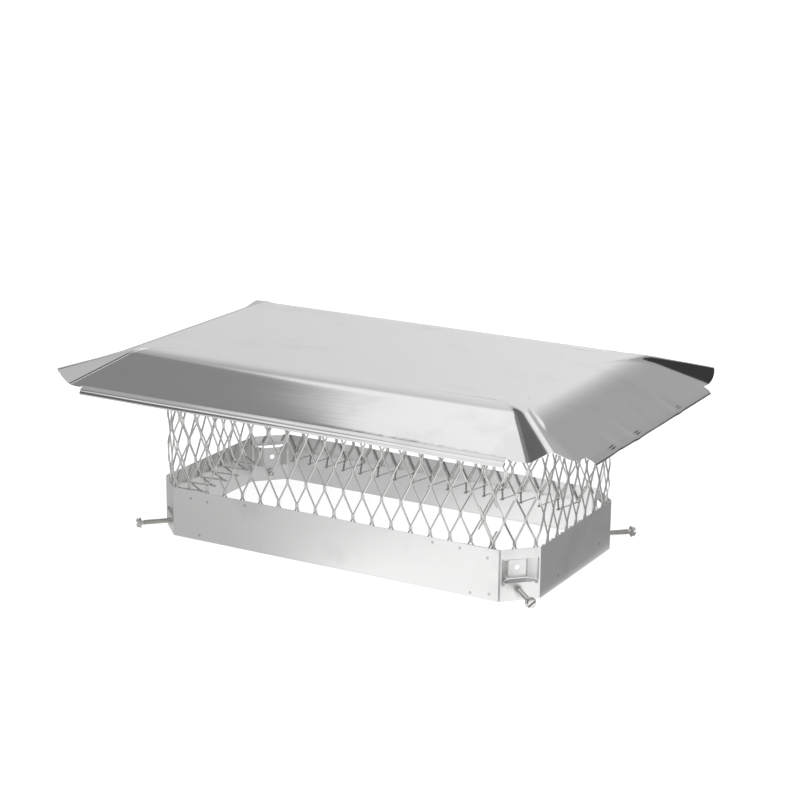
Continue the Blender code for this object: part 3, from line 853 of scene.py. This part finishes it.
def make_band(material):
    columns = band_columns()
    heights = band_heights()
    bm = bmesh.new()
    add_sheet(bm, columns, heights, band_point)
    bmesh.ops.delete(bm, geom=slit_faces(bm, columns, heights), context="FACES")
    holes = hole_cutters()
    band = make_piece(
        "base_band_sheet", bm, material, sheet=BAND_SHEET, cutters=holes
    )
    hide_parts("base_band")


def make_collars(material):
    """The tapped collar drawn inwards round each screw hole, with a rounded mouth outside."""
    dish = -DISH_DEPTH
    inner_rim = dish - BAND_SHEET - COLLAR_LENGTH
    profile = [(SCREW_HOLE, inner_rim), (COLLAR_OUTSIDE, inner_rim)]
    profile.append((COLLAR_OUTSIDE, dish - BAND_SHEET / 2))
    profile += [(COLLAR_OUTSIDE + out, dish + up) for out, up in COLLAR_MOUTH]
    profile.append(profile[0])
    bm = bmesh.new()
    for corner in range(4):
        add_turned(bm, profile, HOLE_SIDES, at_corner(corner, SCREW_HEIGHT))
    tidy(bm)
    make_piece("screw_collars", bm, material)


# Expanded screen

SCREEN_INSET = BAND_SHEET + SEAT_GAP + STRAND_RAISE
SCREEN_OUTLINE = RingPath(SCREEN_INSET, SCREEN_FOLD_RADIUS)
SCREEN_FOOT = BAND_HEIGHT - SCREEN_SEAT
WALL_TOP = WALL_ROWS * ROW_PITCH


def screen_point(along, up, raised):
    """A point of the screen, from its place on the strip before the strip is folded."""
    start = SCREEN_OUTLINE.long / 2 - SCREEN_START
    lapped = smooth_step((along - SCREEN_OUTLINE.total + BOND_PITCH) / BOND_PITCH)
    inward = lapped * (STRAND_RAISE + STRAND_DEPTH + SEAT_GAP)
    height = SCREEN_FOOT + min(max(up, 0.0), WALL_TOP)
    if up < 0:
        inward -= up * math.cos(FOOT_DROP)
        height += up * math.sin(FOOT_DROP)
    elif up > WALL_TOP:
        inward += up - WALL_TOP
    if 0 <= up <= WALL_TOP:
        inward -= raised
    if up <= 0:
        height -= raised
    elif up >= WALL_TOP:
        height += raised
    point, outward = SCREEN_OUTLINE.at(start + along)
    return (point - inward * outward).to_3d() + Vector((0, 0, height))


def on_straight_side(along, margin):
    """Whether a place on the strip lies on one of the four main sides, clear of its folds."""
    place = (along + SCREEN_OUTLINE.long / 2 - SCREEN_START) % SCREEN_OUTLINE.total
    fold = SCREEN_OUTLINE.fold
    for corner in range(4):
        start = SCREEN_OUTLINE.corner_start(corner) - fold - margin
        end = SCREEN_OUTLINE.corner_start(corner) + SCREEN_OUTLINE.corner + fold + margin
        if start < place < end:
            return False
    return True


def bond_exists(row, along):
    """Whether the strip has a bond there. Foot and head are cut away round the corners."""
    if not STRIP_MARGIN < along < SCREEN_OUTLINE.total + SCREEN_LAP - STRIP_MARGIN:
        return False
    if row in (-1, WALL_ROWS + 1):
        return on_straight_side(along, ROW_PITCH * math.tan(math.pi / 8))
    return row > 0 or on_straight_side(along, 0)


def half_column(index):
    """Place along the strip of the bonds in one column. The next column's rows are between."""
    start = SCREEN_OUTLINE.long / 2 - SCREEN_START
    first = (BOND_PHASE - start) % BOND_PITCH
    return first + index * BOND_PITCH / 2


def ribbon_stops(index):
    """A ribbon's way up the strip: each row, its centre line there, and whether it is bonded."""
    beside = STRAND_WIDTH * math.cos(STRAND_TILT) / 2
    stops = []
    for row in range(-1, WALL_ROWS + 2):
        on_left = (index - row) % 2 == 0
        bond = half_column(index if on_left else index + 1)
        centre = bond + beside if on_left else bond - beside
        stops.append((row, centre, bond_exists(row, bond)))
    return stops


def bond_line(row, centre):
    """Points along a bond, with more of them where the foot and the head are bent."""
    up = row * ROW_PITCH
    steps = [-BOND_LENGTH / 2, BOND_LENGTH / 2]
    if row in (0, WALL_ROWS):
        steps[1:1] = [-SCREEN_BEND_STEP, 0, SCREEN_BEND_STEP]
    return [(centre, up + step) for step in steps]


def strand_shares(leaves, arrives, row):
    """Where a strand has its points. With a bond at one end only, it is cut off half way."""
    if leaves and arrives:
        return STRAND_SHARES
    if not 0 <= row < WALL_ROWS:
        return ()
    if leaves:
        return STRAND_SHARES[:3]
    return STRAND_SHARES[2:] if arrives else ()


def ribbon_runs(index):
    """The centre lines of one zig-zag ribbon, as lists of places on the strip."""
    stops = ribbon_stops(index)
    runs = []
    line = []
    for stop, after in zip(stops, stops[1:] + [None]):
        row, centre, bonded = stop
        if bonded:
            line += bond_line(row, centre)
        if after is None:
            break
        next_row, next_centre, next_bonded = after
        low = Vector((centre, row * ROW_PITCH + BOND_LENGTH / 2))
        high = Vector((next_centre, next_row * ROW_PITCH - BOND_LENGTH / 2))
        line += [tuple(low.lerp(high, share)) for share in strand_shares(bonded, next_bonded, row)]
        if line and not next_bonded:
            runs.append(line)
            line = []
    if line:
        runs.append(line)
    return [run for run in runs if len(run) > 3]


def strand_section():
    """A rectangle with its edges broken, as (across, through)."""
    half_width = STRAND_WIDTH / 2
    half_thick = STRAND_THICKNESS / 2
    corner = [(half_width, half_thick - STRAND_EDGE), (half_width - STRAND_EDGE, half_thick)]
    section = corner + [(-x, y) for x, y in reversed(corner)]
    section += [(-x, -y) for x, y in corner] + [(x, -y) for x, y in reversed(corner)]
    return section + section[:1]


def add_ribbon(bm, run, section):
    """Sweeps the strand's section, tilted on edge as the press leaves it, along a centre line."""
    points = [screen_point(along, up, -STRAND_THICKNESS / 2) for along, up in run]
    outer = [screen_point(along, up, STRAND_THICKNESS) for along, up in run]
    frames = []
    last = len(points) - 1
    for index, point in enumerate(points):
        tangent = (points[min(index + 1, last)] - points[max(index - 1, 0)]).normalized()
        out = outer[index] - point
        out = (out - out.dot(tangent) * tangent).normalized()
        across = tangent.cross(out)
        side = across * math.cos(STRAND_TILT) + out * math.sin(STRAND_TILT)
        frames.append((point, side, side.cross(tangent)))

    def place(corner, index):
        point, side, face = frames[index]
        return point + corner[0] * side + corner[1] * face

    add_sheet(bm, section, range(len(frames)), place)


def make_screen(material):
    section = strand_section()
    bm = bmesh.new()
    count = int((SCREEN_OUTLINE.total + SCREEN_LAP) / BOND_PITCH * 2) + 2
    for index in range(-1, count):
        for run in ribbon_runs(index):
            add_ribbon(bm, run, section)
    tidy(bm, end_sides=len(section))
    screen = make_piece("screen_strands", bm, material)
    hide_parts("mesh_screen")


# Hood

FLAT_CORNER = Vector((FLAT_LENGTH / 2, FLAT_WIDTH / 2))
EAVE_CORNER = Vector((EAVE_LENGTH / 2, EAVE_WIDTH / 2))
END_SLOPE = END_SKIRT_DROP / (EAVE_CORNER.x - FLAT_CORNER.x)
SIDE_SLOPE = SIDE_SKIRT_DROP / (EAVE_CORNER.y - FLAT_CORNER.y)
HOOD_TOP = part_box("hood")[1].z
CORE = FLAT_CORNER - Vector((CORE_INSET, CORE_INSET))


def end_drop(out):
    """Drop of the end skirt: its bend is long and soft, so it starts flat and steepens."""
    linear = out * END_SLOPE
    start = -END_CREASE_INSIDE * END_SLOPE
    full = END_CREASE_OUTSIDE * END_SLOPE
    steep = END_SKIRT_DROP / ((full - start) / 2 + END_SKIRT_DROP - full)
    if linear <= start:
        return 0.0
    if linear < full:
        return steep * (linear - start) ** 2 / (2 * (full - start))
    return steep * ((full - start) / 2 + linear - full)


def side_drop(out):
    return soft_max(out * SIDE_SLOPE, 0.0, SIDE_CREASE * SIDE_SLOPE)


class Plane:
    """A flat facet: its drop at a plan point measured from the flat's corner."""

    def __init__(self, *points):
        first, second, third = points
        normal = (second - first).cross(third - first)
        self.slopes = Vector((-normal.x / normal.z, -normal.y / normal.z))
        self.base = first.z - self.slopes.dot(first.to_2d())

    def drop(self, out):
        return self.base + self.slopes.dot(out)


def ridge_end(direction, descent):
    """A point on a ridge of the fold, measured from the flat's corner, with its drop as Z."""
    turned = math.radians(direction)
    drop = RIDGE_RUN * math.tan(math.radians(descent))
    return Vector((RIDGE_RUN * math.cos(turned), RIDGE_RUN * math.sin(turned), drop))


class Dart:
    """The fold that takes up the sheet at one corner of the hood: a ridge between two valleys."""

    def __init__(self, side_valley, end_valley, ridges, reach, crest_start, springs=False):
        self.reach = reach
        low, high = (ridge_end(direction, descent) for direction, descent in ridges)
        start = (low + high).to_2d().normalized().to_3d() * crest_start
        self.crest = Plane(start, low, high)
        leave, direction = side_valley
        lean = 1 / math.tan(math.radians(direction))
        near, far = (Vector((leave + lean * out, out, side_drop(out))) for out in SIDE_VALLEY_RUN)
        self.side_facet = Plane(near, far, high)
        leave, direction = end_valley
        lean = math.tan(math.radians(direction))
        near, far = (Vector((out, lean * (out - leave), end_drop(out))) for out in END_VALLEY_RUN)
        self.end_facet = Plane(start if springs else near, far, low)

    def drop(self, plan):
        """Drop below the flat at a plan point of the first quadrant."""
        out = plan - FLAT_CORNER
        skirts = soft_max(side_drop(out.y), end_drop(out.x), VALLEY_SOFTNESS)
        if skirts <= 0:
            return 0.0
        fold = soft_max(self.side_facet.drop(out), self.crest.drop(out), RIDGE_SOFTNESS)
        fold = soft_max(fold, self.end_facet.drop(out), RIDGE_SOFTNESS)
        fold = soft_max(fold, 0.0, CREST_SOFTNESS)
        fading = smooth_step(skirts / SOFTENING_DROP)
        softness = VALLEY_SOFTNESS if out.y > out.x else END_VALLEY_SOFTNESS
        return max(soft_min(skirts, fold, LEAST_SOFTNESS + softness * fading), 0.0)

    def edge(self, angle):
        """Plan point of the rounded corner's rim, at an angle about the flat's corner."""
        way = Vector((math.cos(angle), math.sin(angle)))
        slope = self.drop(FLAT_CORNER + way * self.reach) / self.reach
        centre = self.reach - CORNER_RADIUS
        turned = angle - math.pi / 4
        over = centre * math.cos(turned)
        over += math.sqrt(CORNER_RADIUS**2 - (centre * math.sin(turned)) ** 2)
        return FLAT_CORNER + way * over / math.hypot(1, slope)


def knocks(x, y):
    """Knocks near the eave, and the faint unevenness of thin sheet."""
    total = 0.0
    for at_x, at_y, depth, (long_x, long_y) in KNOCKS:
        total += depth * math.exp(-((y - at_y) / long_y) ** 2 - ((x - at_x) / long_x) ** 2)
    beyond = max(abs(x) - FLAT_CORNER.x, abs(y) - FLAT_CORNER.y, 0.0)
    waves, seed, depth = SHEET_WAVE
    wave = noise.noise(Vector((x * waves, y * waves, seed))) * depth
    return total + wave * smooth_step(beyond / SHEET_WAVE_START)


def hood_rows():
    """Rows out from the flat's core, as an offset from the flat's edge and a share of the rest."""
    shares = np.linspace(0, 1, SKIRT_ROWS + 1).tolist()[1:]
    near = [(offset, 0.0) for offset in HOOD_OFFSETS]
    return near + [(HOOD_OFFSETS[-1], share) for share in shares]


def row_point(eave, row):
    """Plan point where a row crosses the line from the flat's core to a point of the eave."""
    nearest = Vector((min(eave.x, CORE.x), min(eave.y, CORE.y)))
    start = nearest + (eave - nearest).normalized() * CORE_GAP
    offset, share = row
    reaches = [1.0]
    for axis in (0, 1):
        run = eave[axis] - start[axis]
        if run > 0:
            reaches.append((FLAT_CORNER[axis] + offset - start[axis]) / run)
    reached = min(max(min(reaches), 0.0), 1.0)
    reached += (1 - reached) * share
    return start + (eave - start) * reached


def drip_profile(kind, slope):
    """A drip edge's section as steps out and up from the eave: bend, bulged face, rolled hem."""
    drip = DRIPS[kind]
    rim = Vector((drip["out"], -drip["fall"]))
    down = rim.normalized()
    inwards = Vector((down.y, -down.x))
    before = Vector((-BEND_SETBACK, BEND_SETBACK * slope))
    after = BEND_SETBACK * down
    profile = [(1 - share) ** 2 * before + share * share * after for share in BEND_SHARES]
    for share in FACE_SHARES:
        bulge = 4 * share * (1 - share) * DRIP_BULGE
        profile.append(after.lerp(rim, share) + bulge * -inwards)
    radius = drip["radius"]
    middle = rim + radius * inwards
    for turn in HEM_TURNS:
        angle = math.radians(turn)
        profile.append(middle + radius * (math.sin(angle) * down - math.cos(angle) * inwards))
    profile.append(rim + 2 * radius * inwards - HEM_RETURN * down)
    return profile


def ripple(place, seed):
    """Small marks of the folding tool along a bend line."""
    waves, level, depth = TOOL_RIPPLE
    return depth * noise.noise(Vector((place * waves, seed, level)))


def hem_wave(place, seed):
    """How the hem wanders, out and up, along its length."""
    return sum(
        depth * noise.noise(Vector((place * waves, seed, level))) for waves, level, depth in HEM_WAVES
    )


class HoodQuarter:
    """One quarter of the hood: its flat, skirts, corner fold and drip edges."""

    def __init__(self, quadrant, drips, slant=0.0, **fold):
        self.quadrant = quadrant
        self.slant = slant
        self.dart = Dart(**fold)
        side_drip, end_drip = drips
        end_y = np.linspace(0, FLAT_CORNER.y + end_drip, EAVE_COLUMNS["end"]).tolist()
        side_x = np.linspace(FLAT_CORNER.x + side_drip, 0, EAVE_COLUMNS["side"]).tolist()
        self.end = [Vector((EAVE_CORNER.x, y)) for y in end_y]
        self.side = [Vector((x, EAVE_CORNER.y)) for x in side_x]
        low = math.atan2(end_drip, EAVE_CORNER.x - FLAT_CORNER.x) + EAVE_MARGIN
        high = math.atan2(EAVE_CORNER.y - FLAT_CORNER.y, side_drip) - EAVE_MARGIN
        angles = np.linspace(low, high, EAVE_COLUMNS["corner"]).tolist()
        self.corner = [self.dart.edge(angle) for angle in angles]

    def point(self, plan):
        """A point of the sheet's outer face, over a plan point of the first quadrant."""
        x, y = self.quadrant[0] * plan.x, self.quadrant[1] * plan.y
        return Vector((x, y, HOOD_TOP - max(self.dart.drop(plan) + knocks(x, y), 0.0)))

    def drip_point(self, plan, step, kind):
        """A point of a drip edge: a step of its section, below a plan point of the eave."""
        across = 0 if kind == "end" else 1
        along = 1 - across
        base = self.point(plan)
        back = plan.copy()
        back[across] -= BEND_SETBACK
        slope = (self.point(back).z - base.z) / BEND_SETBACK
        place = plan[along] * self.quadrant[along]
        seed = 2.0 * self.quadrant[across] + across
        moved = drip_profile(kind, slope)[step]
        if 0 < step < len(BEND_SHARES) - 1:
            moved += Vector((1, 1)) * ripple(place, seed)
        if step >= HEM_START:
            wave = hem_wave(place, seed) * DRIPS[kind]["wander"]
            moved += Vector((-abs(wave) * HEM_PULL, wave))
        shift = Vector((0, 0, moved.y))
        shift[across] = self.quadrant[across] * moved.x
        if kind == "end":
            cut_back = self.slant * (plan.y / self.end[-1].y) ** SLANT_SHARPNESS * step / DRIP_STEPS
            shift[along] = -self.quadrant[along] * cut_back
        return base + shift

    def add_to(self, bm):
        first = len(bm.verts)
        eave = [Vector((point.x - BEND_SETBACK, point.y)) for point in self.end]
        eave += self.corner
        eave += [Vector((point.x, point.y - BEND_SETBACK)) for point in self.side]
        add_sheet(bm, eave, hood_rows(), lambda plan, row: self.point(row_point(plan, row)))
        bm.verts.ensure_lookup_table()
        core_rim = bm.verts[first:first + len(eave)]
        bm.faces.new([bm.verts.new((0, 0, HOOD_TOP)), *core_rim])
        steps = range(DRIP_STEPS)
        add_sheet(bm, self.end, steps, lambda plan, step: self.drip_point(plan, step, "end"))
        add_sheet(bm, self.side, steps, lambda plan, step: self.drip_point(plan, step, "side"))


def make_hood(material):
    bm = bmesh.new()
    for shape in HOOD_CORNERS.values():
        HoodQuarter(**shape).add_to(bm)
    bmesh.ops.remove_doubles(bm, verts=bm.verts, dist=HOOD_MERGE)
    bmesh.ops.dissolve_degenerate(bm, edges=bm.edges, dist=SAME_POINT)
    bmesh.ops.recalc_face_normals(bm, faces=bm.faces)
    top = max(bm.faces, key=lambda face: face.calc_center_median().z)
    if top.normal.z < 0:
        bmesh.ops.reverse_faces(bm, faces=bm.faces)
    hood = make_piece("hood_sheet", bm, material, sheet=HOOD_SHEET)
    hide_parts("hood")


# Clamp screws

def add_thread(bm):
    """The rolled thread, swept up the shank from near its point to near the washer."""
    turns = int((SCREW_LENGTH - SCREW_POINT - THREAD_RUNOUT) / THREAD_PITCH)
    start = -SCREW_LENGTH + SCREW_POINT
    points = [bm.verts.new((radius, 0, start + share * THREAD_PITCH)) for radius, share in THREAD_FORM]
    edges = [bm.edges.new(pair) for pair in zip(points, points[1:])]
    bmesh.ops.spin(
        bm,
        geom=points + edges,
        cent=(0, 0, 0),
        axis=(0, 0, 1),
        dvec=(0, 0, THREAD_PITCH / THREAD_STEPS),
        angle=2 * math.pi * turns,
        steps=THREAD_STEPS * turns,
        use_merge=False,
    )
    bmesh.ops.remove_doubles(bm, verts=bm.verts, dist=THREAD_MERGE)
    fill_ends(bm)


def shank_mesh():
    """Thread, core and washer, with the screw's axis on Z and the washer's under face at 0."""
    bm = bmesh.new()
    add_thread(bm)
    tip, top = -SCREW_LENGTH, WASHER_THICKNESS
    proud, sunk = THREAD_ROOT + SHANK_PROUD, THREAD_ROOT - SHANK_SUNK
    covered = BARE_LENGTH + BARE_TAPER
    core = [
        (0, tip),
        (THREAD_ROOT - POINT_TAPER[0], tip),
        (proud, tip + POINT_TAPER[1]),
        (proud, tip + BARE_LENGTH),
        (sunk, tip + covered),
        (sunk, -covered),
        (proud, -BARE_LENGTH),
        (proud, -HEAD_FILLET),
        (THREAD_ROOT + WASHER_EDGE, 0),
        (WASHER_RADIUS - WASHER_EDGE, 0),
        (WASHER_RADIUS, WASHER_EDGE),
        (WASHER_RADIUS, top - HEAD_SINK - WASHER_EDGE),
        (WASHER_RADIUS - WASHER_EDGE, top - HEAD_SINK),
        (HEAD_ACROSS_FLATS / 2 + 1.5 * HEAD_FILLET, top),
        (HEAD_ACROSS_FLATS / 2 - HEAD_FILLET, top + HEAD_FILLET),
        (0, top + HEAD_FILLET),
    ]
    add_turned(bm, core, SHANK_SIDES)
    tidy(bm)
    return bm


def break_edges(bm, edges, size):
    bmesh.ops.bevel(
        bm, geom=edges, offset=size, segments=3, profile=0.5, affect="EDGES", material=-1
    )


def head_mesh():
    """The hexagon head with its corners and its top edge broken."""
    across_corners = HEAD_ACROSS_FLATS / math.cos(math.pi / 6)
    low = WASHER_THICKNESS - HEAD_SINK
    high = WASHER_THICKNESS + HEAD_HEIGHT
    bm = bmesh.new()
    bmesh.ops.create_cone(
        bm,
        cap_ends=True,
        segments=6,
        radius1=across_corners / 2,
        radius2=across_corners / 2,
        depth=high - low,
        matrix=Matrix.Translation((0, 0, (high + low) / 2)),
    )
    heights = {edge: [vert.co.z for vert in edge.verts] for edge in bm.edges}
    upright = [edge for edge, (first, last) in heights.items() if abs(first - last) > HEAD_HEIGHT / 2]
    break_edges(bm, upright, HEAD_CORNER_BREAK)
    rims = [edge for edge in bm.edges if min(vert.co.z for vert in edge.verts) > high - SAME_POINT]
    break_edges(bm, rims, HEAD_RIM_BREAK)
    return bm


def slot_cutter(place):
    """A bar that cuts the driver's slot across a screw's head."""
    bm = bmesh.new()
    bmesh.ops.create_cube(bm, size=1)
    bmesh.ops.scale(bm, verts=bm.verts, vec=(CUTTER_LENGTH, SLOT_WIDTH, 2 * SLOT_DEPTH))
    bmesh.ops.translate(bm, verts=bm.verts, vec=(0, 0, WASHER_THICKNESS + HEAD_HEIGHT))
    bmesh.ops.transform(bm, matrix=place, verts=bm.verts)
    return link_mesh("slot", bm)


def make_screws(material):
    for corner, name in enumerate(CORNER_NAMES):
        spin = Matrix.Rotation(math.radians(SLOT_TURNS[name]), 4, "Z")
        place = at_corner(corner, SCREW_HEIGHT, SCREW_LENGTH - SCREW_REACH) @ spin
        body = "screw_" + name
        cutter = slot_cutter(place)
        head = head_mesh()
        bmesh.ops.transform(head, matrix=place, verts=head.verts)
        make_piece("screw_head_" + name, head, material, body=body, cutters=cutter)
        shank = shank_mesh()
        bmesh.ops.transform(shank, matrix=place, verts=shank.verts)
        piece = make_piece("screw_shank_" + name, shank, material, body=body)
        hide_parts("clamp_screw_" + name)


# Spot weld marks

def make_weld_marks(material):
    """Small craters left by the welding tips on the band's front and right panels."""
    lean = BAND_SHEET + SEAT_GAP
    ahead, right = Vector((0, -1, 0)), Vector((1, 0, 0))
    places = [pointing((x, -BAND_WIDTH / 2 - lean * share, z), ahead) for x, z, share in FRONT_WELDS]
    places += [pointing((BAND_LENGTH / 2, y, z), right) for y, z in RIGHT_WELDS]
    bm = bmesh.new()
    for place in places:
        add_turned(bm, WELD_CRATER, WELD_SIDES, place)
    tidy(bm)
    make_piece("weld_marks", bm, material)


bpy.context.scene.view_settings.view_transform = "Standard"
make_camera()
make_world()
make_floor()
make_hood(hood_steel())
band_finish = band_steel()
make_band(band_finish)
make_collars(band_finish)
make_screen(screen_steel())
make_screws(screw_steel())
make_weld_marks(weld_steel())
